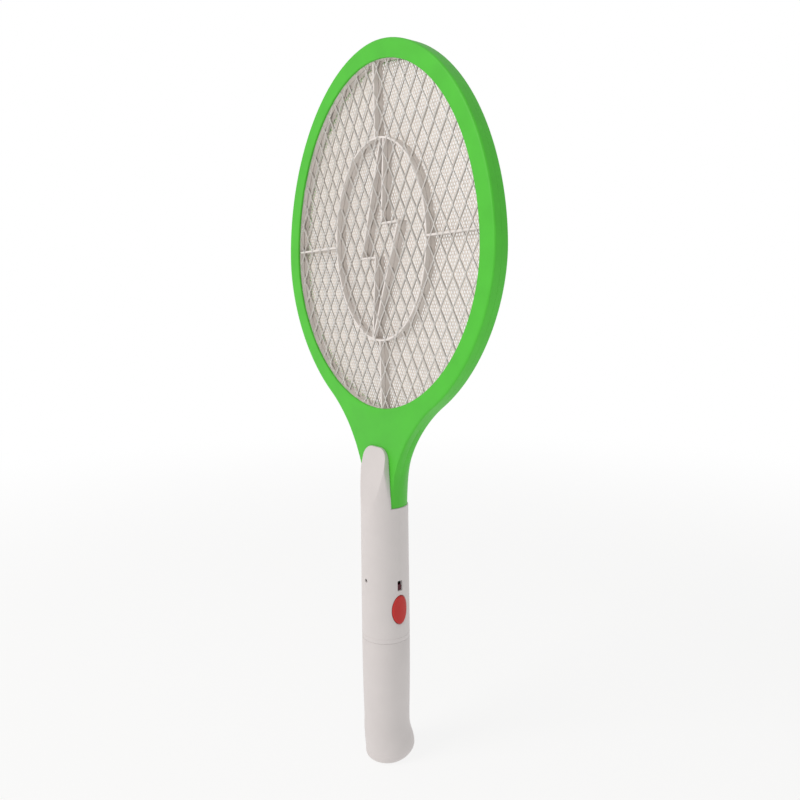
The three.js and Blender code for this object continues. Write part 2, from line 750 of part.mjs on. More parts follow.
const racket = new THREE.Group();
racket.add(
  assembly(...headShells(), ...headStack(), ...headScrews()),
  assembly(...handleShells(), ...handleScrews(), ...gridLeads()),
  assembly(circuitBoard(), ...transformer(), ...smallParts(), indicatorLamp()),
  assembly(buttonCap(), ...tactSwitch(), buttonSpring(), ...slideSwitch()),
  assembly(plugCarrier(), ...plugPins(), ...powerPack()),
  gripCap(),
);
racket.position.z = -gripEnd;

export default racket;
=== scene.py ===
import math

import bmesh
import bpy
import numpy as np
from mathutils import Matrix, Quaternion, Vector


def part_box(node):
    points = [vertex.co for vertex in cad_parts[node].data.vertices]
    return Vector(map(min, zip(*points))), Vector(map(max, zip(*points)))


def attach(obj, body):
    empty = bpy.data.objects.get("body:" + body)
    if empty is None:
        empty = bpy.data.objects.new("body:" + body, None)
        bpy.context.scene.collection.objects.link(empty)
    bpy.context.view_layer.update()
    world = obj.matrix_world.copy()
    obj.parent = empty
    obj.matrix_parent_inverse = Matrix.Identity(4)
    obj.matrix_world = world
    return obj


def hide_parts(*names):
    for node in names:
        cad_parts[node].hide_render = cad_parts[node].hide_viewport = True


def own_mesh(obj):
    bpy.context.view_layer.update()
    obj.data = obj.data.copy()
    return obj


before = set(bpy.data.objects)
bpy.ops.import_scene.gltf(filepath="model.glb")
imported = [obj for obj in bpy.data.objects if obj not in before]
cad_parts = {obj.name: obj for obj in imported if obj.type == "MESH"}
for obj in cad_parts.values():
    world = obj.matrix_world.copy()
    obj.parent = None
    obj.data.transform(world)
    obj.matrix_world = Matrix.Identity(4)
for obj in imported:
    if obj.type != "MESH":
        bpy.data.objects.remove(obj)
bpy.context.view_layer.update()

# Electric bug zapper: a green racket head with three metal grids and a grey rib pattern, on a
# round white handle with a red button, a slide switch and a pull-off grip. Lengths here are in
# millimetres, front towards -Y, button towards +X, and become metres when a mesh is made. Heights
# are measured from a datum just under the end of the grip.

MM = 0.001
DATUM = np.array([0, 0, -3.8])


def node_box(node):
    """Lowest and highest corner of a CAD node, in millimetres, with heights from the datum."""
    low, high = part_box(node)
    return np.array(low) / MM - DATUM, np.array(high) / MM - DATUM


# ---- Driving dimensions ----------------------------------------------------------------------

HEAD_HIGH = node_box("head_front_shell")[1]
HEAD_CENTRE = 346.3
HEAD_OVAL = {"side": HEAD_HIGH[0], "up": HEAD_HIGH[2] - HEAD_CENTRE, "down": 110.9,
             "bend_up": 1.93, "bend_down": 1.85}
WINDOW_OVAL = {"side": 94.0, "up": 117.3, "down": 97.6, "bend_up": 1.97, "bend_down": 1.91}
HALF_DEPTH = 5.3
FACE_THICKNESS = 1.4
RIM_WALL = 2.4
EDGE_RADIUS = 1.3        # outer edge of the rim
WINDOW_EDGE_RADIUS = 0.5
PARTING = 0.015          # half the gap between the two halves of a shell
GROOVE = 0.05            # small chamfer along the parting line of the head

NECK_ANGLE = -57.5       # degrees on the head oval where the neck curve starts
NECK_BOTTOM = 184.15
NECK_RADIUS = 15.3
NECK_PULLS = ((14.6, 214.0), 24.0)   # control point above the foot, and reach along the oval
NECK_REACH = 262.0       # below this height the outline is the neck's
NECK_FADE = (188.0, 236.0)   # the round neck becomes the flat plate between these heights

HEAD_SCREW_ANGLES = (22, 56, 90, 124, 158, 202, 240, 300, 338)
HEAD_SCREW_INSET = 5.6
HEAD_SCREW = {"tip": -2.3, "shaft": 0.8, "radius": 2.0, "seat": 4.56, "top": 5.19}
HEAD_RECESS = ((2.3, HALF_DEPTH - 0.8), (2.3, HALF_DEPTH - 0.25),
               (2.6, HALF_DEPTH + 0.05), (2.6, HALF_DEPTH + 0.7))
HANDLE_SCREW_HEIGHTS = (101.5, 172.0)
HANDLE_SCREW = {"tip": -10, "shaft": 1.1, "radius": 2.6, "seat": 14.11, "top": 15.29}
HANDLE_RECESS = ((2.9, 14), (2.9, 20))

COARSE_MESH = {"across": 10.6, "up": 19.4, "strand": 0.62, "join": 1.0}
FINE_MESH = {"across": 2.2, "up": 4.05, "strand": 0.72, "join": 0}
MESH_SHIFTS = {"front": (2.1, 5.6), "middle": (4.0, -3.7), "back": (0.7, 0.8)}
RIB = 1.2
RING = {"side": 47.35, "up": 63.4, "x": 1.0, "centre": 355.6}
BAR_HEIGHT = 354.9
BAR_SIDE = 0.4
BOLT_TOP = (6.0, 8.9)
BOLT_UPPER = {"z": 366.0, "left": 4.8, "right": 21.5}
BOLT_LOWER = {"z": 345.5, "left": -17.0, "right": -2.2}
BOLT_TIP = -7.0
PATTERN_TURN = 1.2       # degrees that the rib pattern sits turned in the head
STACK_INSET = 8.3        # spacers, from the head's outline
GRID_INSET = 8.6         # grids, from the head's outline

HANDLE_BOTTOM = 92.08
HANDLE_TOP = node_box("handle_back_shell")[1][2]
HANDLE_HEIGHTS = (HANDLE_BOTTOM, 121.0, 151.0, 178.0, 230.0)
HANDLE_RADII = (16.3, 16.2, 16.0, 15.9, 15.9)
HANDLE_BORE = 13.9
TONGUE_TOP = node_box("handle_front_shell")[1][2]
TONGUE_FOOT_HALF = 14.6
TONGUE_HALF = 12.1
TONGUE_CORNER = 8.0
TONGUE_BACK = 5.45
TONGUE_EDGE = 0.4
FACET = {"low": 181.0, "slope": 0.211}
SEAM_GROOVE = (94.9, 95.5)

GRIP_TOP = 92.02
GRIP_BORE = 13.8
GRIP_FLOOR = 7.4
GRIP_PROFILE = ((9.9, 3.8), (12.6, 4.3), (14.9, 5.9), (16.3, 8.1), (16.9, 10.5), (17.1, 13),
                (16.9, 17.5), (16.1, 24.5), (15.65, 33), (16, 53), (16.25, 70))
HEEL = {"shift": 2.45, "low": 3.8, "high": 29.0, "peak": 10.8}
CARRIER = {"radius": 13.2, "bore": 11.8, "bottom": 42.0, "floor": 44.2, "top": 98.0,
           "flange": 15.0, "flange_low": 94.0, "flange_high": 96.0}
PIN = {"width": 6.3, "thickness": 1.5, "spacing": 12.7, "bottom": 25.0, "top": 45.0}

BUTTON_HEIGHT = 114.7
BUTTON_OVAL = (5.9, 9.8)
BUTTON_CROWN = 16.85
BUTTON_FLANGE = {"side": 0.3, "up": 2.1, "thickness": 1.2}
BUTTON_EDGE = 0.8
BUTTON_GAP = 0.25
SPRING = {"turns": 3.5, "wire": 0.3}
SWITCH_HEIGHT = 131.3
SWITCH_SLOT = (3.8, 6.8)
LED_HEIGHT = 133.9
LED_HOLE = 1.25
HOLE_DEPTH = 10          # openings in the handle are cut this near to its middle


# ---- Camera ----------------------------------------------------------------------------------

CAMERA_AZIMUTH = 53.0    # degrees from the front towards the button side
CAMERA_DISTANCE = 481.3
CAMERA_HEIGHT = 320.6
LOOK_AZIMUTH = 51.69
LOOK_PITCH = -7.94
LOOK_ROLL = -0.51
LENS = 33.38             # millimetres, on a 36 mm sensor


def add_camera():
    data = bpy.data.cameras.new("camera")
    data.lens = LENS
    data.sensor_width = 36
    data.clip_start = 0.01
    camera = bpy.data.objects.new("camera", data)
    bpy.context.scene.collection.objects.link(camera)
    around = math.radians(CAMERA_AZIMUTH)
    camera.location = (
        CAMERA_DISTANCE * math.sin(around) * MM,
        -CAMERA_DISTANCE * math.cos(around) * MM,
        (CAMERA_HEIGHT + DATUM[2]) * MM,
    )
    camera.rotation_mode = "QUATERNION"
    look = math.radians(LOOK_AZIMUTH)
    pitch = math.radians(LOOK_PITCH)
    forward = Vector((
        -math.sin(look) * math.cos(pitch),
        math.cos(look) * math.cos(pitch),
        math.sin(pitch),
    ))
    roll = Quaternion((0, 0, 1), math.radians(LOOK_ROLL))
    camera.rotation_quaternion = forward.to_track_quat("-Z", "Y") @ roll
    bpy.context.scene.camera = camera


add_camera()


# ---- Mesh helpers ----------------------------------------------------------------------------

def make_piece(name, points, faces, sharp=32.0):
    """A closed mesh piece from points in millimetres, smooth except across sharp corners."""
    mesh = bpy.data.meshes.new(name)
    mesh.from_pydata([tuple((np.array(point, float) + DATUM) * MM) for point in points], [], faces)
    piece = bpy.data.objects.new(name, mesh)
    bpy.context.scene.collection.objects.link(piece)
    clean(piece, sharp)
    return piece


def clean(piece, sharp=32.0):
    shape = bmesh.new()
    shape.from_mesh(piece.data)
    bmesh.ops.remove_doubles(shape, verts=shape.verts, dist=1e-7)
    bmesh.ops.dissolve_degenerate(shape, edges=shape.edges, dist=1e-7)
    bmesh.ops.recalc_face_normals(shape, faces=shape.faces)
    shape.to_mesh(piece.data)
    shape.free()
    for polygon in piece.data.polygons:
        polygon.use_smooth = True
    piece.data.set_sharp_from_angle(angle=math.radians(sharp))


def loft(sections, closed=False):
    """Points and faces of a skin over sections of equal length; open ends get a cap."""
    count = len(sections[0])
    points = [point for section in sections for point in section]
    faces = []
    spans = len(sections) if closed else len(sections) - 1
    for i in range(spans):
        low = i * count
        high = ((i + 1) % len(sections)) * count
        for j in range(count):
            k = (j + 1) % count
            faces.append((low + j, low + k, high + k, high + j))
    if not closed:
        faces.append(tuple(range(count)))
        faces.append(tuple(range(len(points) - count, len(points))))
    return points, faces


def lathe(profile, segments=64, centre=(0, 0, 0), axis="Z"):
    """A closed body from a profile of (radius, height) turned about an axis."""
    sections = []
    for radius, height in profile:
        ring = []
        for i in range(segments):
            angle = 2 * math.pi * i / segments
            u = max(radius, 1e-4) * math.cos(angle)
            v = max(radius, 1e-4) * math.sin(angle)
            local = {"Z": (u, v, height), "Y": (u, height, v), "X": (height, u, v)}[axis]
            ring.append(tuple(a + b for a, b in zip(local, centre)))
        sections.append(ring)
    return loft(sections)


def prism(outline, front, back):
    """An outline in (x, z), standing between two y values."""
    return loft([[(x, front, z) for x, z in outline], [(x, back, z) for x, z in outline]])


def apply_modifiers(piece):
    graph = bpy.context.evaluated_depsgraph_get()
    result = bpy.data.meshes.new_from_object(piece.evaluated_get(graph))
    old = piece.data
    piece.modifiers.clear()
    piece.data = result
    result.name = old.name
    bpy.data.meshes.remove(old)


def combine(piece, other, operation, sharp=32.0):
    """Joins or cuts a piece with another one, which is used up."""
    modifier = piece.modifiers.new("combine", "BOOLEAN")
    modifier.object = other
    modifier.operation = operation
    modifier.solver = "EXACT"
    apply_modifiers(piece)
    bpy.data.objects.remove(other)
    clean(piece, sharp)


def cut(piece, points, faces):
    combine(piece, make_piece("cutter", points, faces), "DIFFERENCE")


def finish_piece(piece, body, look, slot, *nodes):
    """Gives a piece its material and body, and hides the CAD nodes that it stands for."""
    piece.data.materials.clear()
    piece.data.materials.append(look)
    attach(piece, body)
    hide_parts(*nodes)


def smoothstep(value, low, high):
    t = np.clip((value - low) / (high - low), 0, 1)
    return t * t * (3 - 2 * t)


# ---- Materials -------------------------------------------------------------------------------

def linear(hex_colour):
    """An sRGB colour such as 55b83c as linear red, green, blue and alpha."""
    channels = [int(hex_colour[i:i + 2], 16) / 255 for i in (0, 2, 4)]
    return [c / 12.92 if c <= 0.04045 else ((c + 0.055) / 1.055) ** 2.4 for c in channels] + [1.0]


def material(name, colour, roughness, metallic=0.0, variation=0.04, blotch=60.0,
             grain=2500.0, grain_depth=0.00002, coat=0.0, specular=0.5):
    """A moulded or metal surface: soft colour blotches, uneven gloss and a fine grain."""
    look = bpy.data.materials.new(name)
    look.use_nodes = True
    nodes = look.node_tree.nodes
    links = look.node_tree.links
    shader = nodes["Principled BSDF"]
    shader.inputs["Metallic"].default_value = metallic
    shader.inputs["Coat Weight"].default_value = coat
    shader.inputs["Specular IOR Level"].default_value = specular
    where = nodes.new("ShaderNodeTexCoord")

    blotches = nodes.new("ShaderNodeTexNoise")
    blotches.inputs["Scale"].default_value = blotch
    blotches.inputs["Detail"].default_value = 4
    links.new(where.outputs["Object"], blotches.inputs["Vector"])
    base = linear(colour)
    ramp = nodes.new("ShaderNodeValToRGB")
    ramp.color_ramp.elements[0].position = 0.3
    ramp.color_ramp.elements[0].color = [c * (1 - variation) for c in base[:3]] + [1]
    ramp.color_ramp.elements[1].position = 0.7
    ramp.color_ramp.elements[1].color = [min(1, c * (1 + variation)) for c in base[:3]] + [1]
    links.new(blotches.outputs["Fac"], ramp.inputs["Fac"])
    links.new(ramp.outputs["Color"], shader.inputs["Base Color"])

    gloss = nodes.new("ShaderNodeMapRange")
    gloss.inputs["To Min"].default_value = roughness - 0.06
    gloss.inputs["To Max"].default_value = roughness + 0.06
    links.new(blotches.outputs["Fac"], gloss.inputs["Value"])
    links.new(gloss.outputs["Result"], shader.inputs["Roughness"])

    grains = nodes.new("ShaderNodeTexNoise")
    grains.inputs["Scale"].default_value = grain
    grains.inputs["Detail"].default_value = 2
    links.new(where.outputs["Object"], grains.inputs["Vector"])
    bump = nodes.new("ShaderNodeBump")
    bump.inputs["Strength"].default_value = 0.35
    bump.inputs["Distance"].default_value = grain_depth
    links.new(grains.outputs["Fac"], bump.inputs["Height"])
    links.new(bump.outputs["Normal"], shader.inputs["Normal"])
    return look


GREEN = material("green_plastic", "4bbc30", 0.45, variation=0.05, specular=0.35)
WHITE = material("white_plastic", "d1cbc9", 0.45, variation=0.02)
GREY = material("grey_plastic", "dfd9d4", 0.5, variation=0.03)
RED = material("red_plastic", "bb2823", 0.36, variation=0.05, specular=0.35)
DARK_RED = material("dark_red_plastic", "5c2430", 0.42, variation=0.05)
BLACK = material("black_plastic", "1e1e1f", 0.5, variation=0.1)
WIRE = material("grid_wire", "d9d6d2", 0.38, metallic=0.6, variation=0.06, blotch=150)
# The middle grid is the same steel mesh as the front one, painted darker: painted shade for the
# shadow lines between the grids.
SHADED_WIRE = material("painted_shade_wire", "a39e98", 0.38, metallic=0.6, variation=0.06, blotch=150)
PALE_WIRE = material("pale_wire", "f3ebe3", 0.5, metallic=0.2, variation=0.04, blotch=150)
STEEL = material("steel", "9a9c9e", 0.3, metallic=1.0, variation=0.08, blotch=300)
BRASS = material("brass", "c9a95a", 0.28, metallic=1.0, variation=0.06, blotch=300)
BOARD = material("board", "2f6b3c", 0.5, variation=0.12, blotch=220)
LENS_DARK = material("clear_lens", "2a2c28", 0.15, variation=0.05, coat=0.5)
FERRITE = material("ferrite", "3b3b3d", 0.7, variation=0.12, blotch=400)
TAPE = material("winding_tape", "d9b23c", 0.4, variation=0.08, blotch=300)
CAPACITOR = material("capacitor_case", "8a4a26", 0.3, variation=0.08, coat=0.4)
BATTERY = material("battery_case", "53585f", 0.4, variation=0.08)
RED_LEAD = material("red_lead", "b02a22", 0.45, variation=0.05)
BLACK_LEAD = material("black_lead", "1d1d1f", 0.45, variation=0.1)


# ---- Head shells -----------------------------------------------------------------------------

def oval_point(oval, inset, degrees):
    """A point of an egg-shaped oval about the head centre, shrunk inwards by inset."""
    angle = math.radians(degrees)
    across, up = math.cos(angle), math.sin(angle)
    bend = 2 / (oval["bend_up"] if up >= 0 else oval["bend_down"])
    reach = (oval["up"] if up >= 0 else oval["down"]) - inset
    x = (oval["side"] - inset) * math.copysign(abs(across) ** bend, across)
    z = HEAD_CENTRE + reach * math.copysign(abs(up) ** bend, up)
    return np.array([x, z])


def oval_outline(oval, inset, count=144):
    return [oval_point(oval, inset, 360 * i / count) for i in range(count)]


def bezier(p0, p1, p2, p3, count):
    t = np.linspace(0, 1, count)[:, None]
    return (1 - t) ** 3 * p0 + 3 * (1 - t) ** 2 * t * p1 + 3 * (1 - t) * t * t * p2 + t ** 3 * p3


def mirrored(half):
    """A closed loop from the half on the +X side, which starts and ends on the middle line."""
    left = half[::-1][1:-1] * [-1, 1]
    return np.concatenate([half, left])


def head_outlines():
    """Matching loops: head outline, window edge and pocket edge, from the bottom centre round."""
    start = oval_point(HEAD_OVAL, 0, NECK_ANGLE)
    before = oval_point(HEAD_OVAL, 0, NECK_ANGLE + 1)
    along = (start - before) / np.linalg.norm(start - before)
    corner = np.array([NECK_RADIUS, NECK_BOTTOM])
    pull, reach = NECK_PULLS
    side = bezier(corner, np.array(pull), start + reach * along, start, 36)
    foot_turns = np.linspace(0, math.pi / 2, 9)[:-1]
    foot = [np.array([NECK_RADIUS * math.sin(a), NECK_BOTTOM]) for a in foot_turns]
    oval_angles = np.linspace(NECK_ANGLE, 90, 72)
    oval = [oval_point(HEAD_OVAL, 0, a) for a in oval_angles[1:]]
    outer = np.array(foot + list(side) + oval)
    neck_count = len(foot) + len(side)
    angles = list(np.linspace(-90, NECK_ANGLE, neck_count)) + list(oval_angles[1:])
    window = np.array([oval_point(WINDOW_OVAL, 0, a) for a in angles])
    pocket = np.array([oval_point(HEAD_OVAL, RIM_WALL, a) for a in angles])
    window[[0, -1], 0] = 0
    pocket[[0, -1], 0] = 0
    outer[[0, -1], 0] = 0
    return mirrored(outer), mirrored(window), mirrored(pocket)


def distance_to_line(points, line):
    """Shortest distance from each point to a run of straight segments."""
    start, end = line[:-1], line[1:]
    span = end - start
    to_point = points[:, None, :] - start[None, :, :]
    share = (to_point * span).sum(2) / np.maximum((span ** 2).sum(1), 1e-9)
    share = np.clip(share, 0, 1)
    nearest = start[None] + share[..., None] * span[None]
    return np.linalg.norm(points[:, None, :] - nearest, axis=2).min(1)


def rounded(distance, height, radius):
    """Height of a flat top whose edge is rounded off."""
    near = np.clip(radius - distance, 0, radius)
    return height - radius + np.sqrt(radius ** 2 - near ** 2)


def half_width(outer, heights):
    """Half the width of the neck at each height."""
    right = outer[(outer[:, 0] > 0) & (outer[:, 1] < NECK_REACH)]
    order = np.argsort(right[:, 1], kind="stable")
    return np.interp(heights, right[order, 1], right[order, 0])


def is_foot(point):
    """Whether a point of the outline lies on the straight foot of the neck."""
    return abs(point[0]) < NECK_RADIUS - 0.01 and point[1] < NECK_BOTTOM + 0.1


def shell_height(points, outer, window, back):
    """Distance of the shell's outer skin from the middle plane at points in (x, z)."""
    edge = np.array([point for point in outer if not is_foot(point)])
    to_edge = distance_to_line(points, edge)
    to_window = distance_to_line(points, np.concatenate([window, window[:1]]))
    plate = np.minimum(
        rounded(to_edge, HALF_DEPTH, EDGE_RADIUS),
        rounded(to_window, HALF_DEPTH, WINDOW_EDGE_RADIUS),
    )
    width = half_width(outer, points[:, 1])
    stem = np.sqrt(np.maximum(width ** 2 - points[:, 0] ** 2, 0))
    fade = smoothstep(points[:, 1], *NECK_FADE)
    height = stem * (1 - fade) + plate * fade
    return height if back else np.minimum(height, HALF_DEPTH)


def inward_normals(outer):
    """Unit normals of a closed loop, from its neighbouring points."""
    neighbours = np.roll(outer, -1, 0) - np.roll(outer, 1, 0)
    normal = np.stack([-neighbours[:, 1], neighbours[:, 0]], 1)
    return normal / np.linalg.norm(normal, axis=1)[:, None]


def rounding_steps(radius, steps):
    """Insets of the rows that round off an edge."""
    return radius * (1 - np.cos(np.linspace(0, math.pi / 2, steps)))


def face_columns(lean, length):
    """Distances from the outline to the rows of the face, for each point of the outline."""
    outer_insets = rounding_steps(EDGE_RADIUS, 7)
    inner_insets = rounding_steps(WINDOW_EDGE_RADIUS, 5)[::-1]
    middle = np.linspace(0, 1, 12)[1:-1]
    columns = []
    for i in range(len(length)):
        first = outer_insets / lean[i]
        last = length[i] - inner_insets
        gap = last[0] - first[-1]
        columns.append(np.concatenate([first, first[-1] + gap * middle, last]))
    return np.array(columns)


def head_shell(name, side):
    """One half of the head, as sections across its rim from the parting line to the pocket."""
    outer, window, pocket = head_outlines()
    count = len(outer)
    strip = window - outer
    length = np.linalg.norm(strip, axis=1)
    direction = strip / length[:, None]
    lean = np.clip((inward_normals(outer) * direction).sum(1), 0.5, 1)
    columns = face_columns(lean, length)
    across = columns.shape[1]
    face = outer[:, None, :] + direction[:, None, :] * columns[..., None]
    # The outline is turned so that its straight foot isn't split by the loop's start.
    turned_by = 20
    line = np.concatenate([outer[count - turned_by:], outer[:count - turned_by]])
    heights = shell_height(face.reshape(-1, 2), line, window, side > 0).reshape(count, across)
    sections = []
    for i in range(count):
        lip = min(PARTING + GROOVE, max(heights[i][0], PARTING + 0.01))
        groove = outer[i] + direction[i] * GROOVE
        section = [(groove[0], side * PARTING, groove[1]), (outer[i][0], side * lip, outer[i][1])]
        for j in range(across):
            x, z = face[i][j]
            section.append((x, side * max(heights[i][j], lip + 0.01), z))
        inside = HALF_DEPTH - FACE_THICKNESS
        section.append((window[i][0], side * inside, window[i][1]))
        section.append((pocket[i][0], side * inside, pocket[i][1]))
        section.append((pocket[i][0], side * PARTING, pocket[i][1]))
        sections.append(section)
    return make_piece(name, *loft(sections, closed=True))


def screw_spots():
    return [oval_point(HEAD_OVAL, HEAD_SCREW_INSET, angle) for angle in HEAD_SCREW_ANGLES]


def add_head():
    front = head_shell("head_front", -1)
    back = head_shell("head_back", 1)
    for x, z in screw_spots():
        cut(back, *lathe(HEAD_RECESS, 32, (x, 0, z), "Y"))
    finish_piece(front, "racket", GREEN, "green_plastic", "head_front_shell")
    finish_piece(back, "racket", GREEN, "green_plastic", "head_back_shell")


add_head()


# ---- Grids -----------------------------------------------------------------------------------

def cell_outline(mesh):
    """Corners of one cell of the mesh about its centre: six, or four where strands only touch."""
    half = mesh["across"] / 2
    up = mesh["up"] / 2
    join = mesh["join"] / 2
    if join == 0:
        return np.array([(half, 0), (0, up), (-half, 0), (0, -up)])
    return np.array([(half, -join), (half, join), (0, up - join),
                     (-half, join), (-half, -join), (0, join - up)])


def inset_outline(outline, amount):
    """An outline with every side moved inwards by the same amount."""
    result = []
    for i in range(len(outline)):
        before, here, after = outline[i - 1], outline[i], outline[(i + 1) % len(outline)]
        first = (here - before) / np.linalg.norm(here - before)
        second = (after - here) / np.linalg.norm(after - here)
        first_normal = np.array([-first[1], first[0]])
        second_normal = np.array([-second[1], second[0]])
        half_turn = first_normal + second_normal
        result.append(here + half_turn * amount / half_turn.dot(first_normal))
    return np.array(result)


def with_corners(outline, reach, corner_pull):
    """Three points for each corner: one before it, the corner (pulled inwards) and one after."""
    points = []
    count = len(outline)
    for i in range(count):
        here = outline[i]
        before = outline[i - 1] - here
        after = outline[(i + 1) % count] - here
        first = here + before / np.linalg.norm(before) * reach
        last = here + after / np.linalg.norm(after) * reach
        points += [first, here + ((first + last) / 2 - here) * corner_pull, last]
    return points


def inside_oval(x, z, oval, inset):
    """Whether a point lies inside an oval shrunk by inset."""
    up = z >= HEAD_CENTRE
    reach = (oval["up"] if up else oval["down"]) - inset
    bend = oval["bend_up"] if up else oval["bend_down"]
    return abs(x / (oval["side"] - inset)) ** bend + abs((z - HEAD_CENTRE) / reach) ** bend < 1


def flat_mesh(mesh, shift, fine):
    """The strands of one grid as a flat mesh in the (x, z) plane, inside the head's oval."""
    border = cell_outline(mesh)
    hole = inset_outline(border, mesh["strand"] / 2)
    if not fine:
        border = with_corners(border, 0.3, 0)
        hole = with_corners(hole, 0.25, 0.55)
    shape = bmesh.new()
    across = int(HEAD_OVAL["side"] / mesh["across"]) + 2
    up = int(HEAD_OVAL["up"] / mesh["up"]) * 2 + 2
    for row in range(-up, up + 1):
        for column in range(-across, across + 1):
            x = mesh["across"] * (column + (0.5 if row % 2 else 0)) + shift[0]
            z = HEAD_CENTRE + mesh["up"] / 2 * row + shift[1]
            if fine and not inside_oval(x, z, HEAD_OVAL, GRID_INSET + mesh["up"] / 2):
                continue
            outside = [shape.verts.new((x + p[0], 0, z + p[1])) for p in border]
            inside = [shape.verts.new((x + p[0], 0, z + p[1])) for p in hole]
            for i in range(len(border)):
                j = (i + 1) % len(border)
                shape.faces.new((outside[i], outside[j], inside[j], inside[i]))
    bmesh.ops.remove_doubles(shape, verts=shape.verts, dist=0.01)
    if not fine:
        clip_to_oval(shape)
    return shape


def clip_to_oval(shape):
    """Cuts a flat mesh off along the edge of the grid."""
    limit = oval_outline(HEAD_OVAL, GRID_INSET, 96)
    for i in range(len(limit)):
        here, after = limit[i], limit[(i + 1) % len(limit)]
        side = after - here
        bmesh.ops.bisect_plane(
            shape, geom=shape.verts[:] + shape.edges[:] + shape.faces[:], dist=1e-4,
            plane_co=(here[0], 0, here[1]), plane_no=(side[1], 0, -side[0]),
            clear_outer=True,
        )


def add_grid(place, mesh, look, fine=False):
    """One grid as thick as its CAD sheet, from the flat mesh on both of its faces."""
    node = f"{place}_grid"
    low, high = node_box(node)
    shape = flat_mesh(mesh, MESH_SHIFTS[place], fine)
    shape.verts.index_update()
    count = len(shape.verts)
    flat = [(v.co.x, v.co.z) for v in shape.verts]
    points = [(x, low[1], z) for x, z in flat] + [(x, high[1], z) for x, z in flat]
    faces = []
    for face in shape.faces:
        loop = [v.index for v in face.verts]
        faces.append(tuple(loop))
        faces.append(tuple(i + count for i in reversed(loop)))
    for edge in shape.edges:
        if len(edge.link_faces) == 1:
            a, b = (v.index for v in edge.verts)
            faces.append((a, b, b + count, a + count))
    shape.free()
    piece = make_piece(f"mesh_{place}", points, faces)
    finish_piece(piece, "racket", look, "grid_wire", node)


add_grid("front", COARSE_MESH, WIRE)
# The middle grid takes the darker wire, which is painted shade.
add_grid("middle", COARSE_MESH, SHADED_WIRE)
add_grid("back", FINE_MESH, PALE_WIRE, fine=True)


# ---- Spacers ---------------------------------------------------------------------------------

def ring_height(x, sign):
    """Height of the ring's middle line above or below its centre, at x."""
    share = (x - RING["x"]) / RING["side"]
    return RING["centre"] + sign * (RING["up"] - RIB / 2) * math.sqrt(1 - share ** 2)


def turned(points):
    """Points in (x, z) of the rib pattern, turned with it about the middle of its bars."""
    angle = math.radians(PATTERN_TURN)
    cos, sin = math.cos(angle), math.sin(angle)
    lifted = [(x, z - BAR_HEIGHT) for x, z in points]
    return [(x * cos - z * sin, BAR_HEIGHT + x * sin + z * cos) for x, z in lifted]


def band(outer, inner, front, back):
    """A closed band between two outlines in (x, z)."""
    sections = []
    for (xo, zo), (xi, zi) in zip(outer, inner):
        sections.append([(xo, front, zo), (xi, front, zi), (xi, back, zi), (xo, back, zo)])
    return loft(sections, closed=True)


def ring_outline(inset, count=128):
    angles = [2 * math.pi * i / count for i in range(count)]
    x, z = RING["x"], RING["centre"]
    half_x, half_z = RING["side"] - inset, RING["up"] - inset
    return turned([(x + half_x * math.cos(a), z + half_z * math.sin(a)) for a in angles])


def rib_outline(start, end):
    start, end = np.array(start, float), np.array(end, float)
    along = (end - start) / np.linalg.norm(end - start)
    across = np.array([-along[1], along[0]]) * RIB / 2
    reach = along * RIB / 2
    start, end = start - reach, end + reach
    return turned([start - across, end - across, end + across, start + across])


def rib_lines():
    """Ends of the four bars and of the six sides of the lightning flash."""
    rim = 2
    top = HEAD_CENTRE + WINDOW_OVAL["up"] + rim
    bottom = HEAD_CENTRE - WINDOW_OVAL["down"] - rim
    side = WINDOW_OVAL["side"] + rim
    tip = (BOLT_TIP, ring_height(BOLT_TIP, -1))
    upper_left, upper_right = [(BOLT_UPPER[end], BOLT_UPPER["z"]) for end in ("left", "right")]
    lower_left, lower_right = [(BOLT_LOWER[end], BOLT_LOWER["z"]) for end in ("left", "right")]
    return [
        ((BAR_SIDE, ring_height(BAR_SIDE, 1)), (BAR_SIDE, top)),
        ((BAR_SIDE, ring_height(BAR_SIDE, -1)), (BAR_SIDE, bottom)),
        ((RING["x"] - RING["side"] + 0.5, BAR_HEIGHT), (-side, BAR_HEIGHT)),
        ((RING["x"] + RING["side"] - 0.5, BAR_HEIGHT), (side, BAR_HEIGHT)),
        ((BOLT_TOP[1], ring_height(BOLT_TOP[1], 1)), upper_left),
        (upper_left, upper_right),
        (upper_right, tip),
        ((BOLT_TOP[0], ring_height(BOLT_TOP[0], 1)), lower_left),
        (lower_left, lower_right),
        (lower_right, tip),
    ]


def add_spacer(name, node):
    """Inner rim, ring, bars and lightning flash, joined into one piece."""
    low, high = node_box(node)
    front, back = low[1], high[1]
    outer = oval_outline(HEAD_OVAL, STACK_INSET)
    inner = oval_outline(WINDOW_OVAL, -0.4)
    piece = make_piece(name, *band(outer, inner, front, back))
    ring = make_piece("ring", *band(ring_outline(0), ring_outline(RIB), front, back))
    combine(piece, ring, "UNION")
    for start, end in rib_lines():
        rib = make_piece("rib", *prism(rib_outline(start, end), front, back))
        combine(piece, rib, "UNION")
    finish_piece(piece, "racket", GREY, "grey_plastic", node)


add_spacer("ribs_front", "front_spacer")
add_spacer("ribs_back", "back_spacer")


# ---- Handle shells ---------------------------------------------------------------------------

def handle_radius(height):
    return float(np.interp(height, HANDLE_HEIGHTS, HANDLE_RADII))


def facet_depth(height):
    """How far in front of the middle plane the slanted facet of the tongue lies."""
    return HANDLE_RADII[-1] - (height - FACET["low"]) * FACET["slope"]


def soft_min(a, b, blend=0.2):
    """The smaller of two values, with a rounded change from one to the other."""
    share = min(max(0.5 + 0.5 * (b - a) / blend, 0), 1)
    return b * (1 - share) + a * share - blend * share * (1 - share)


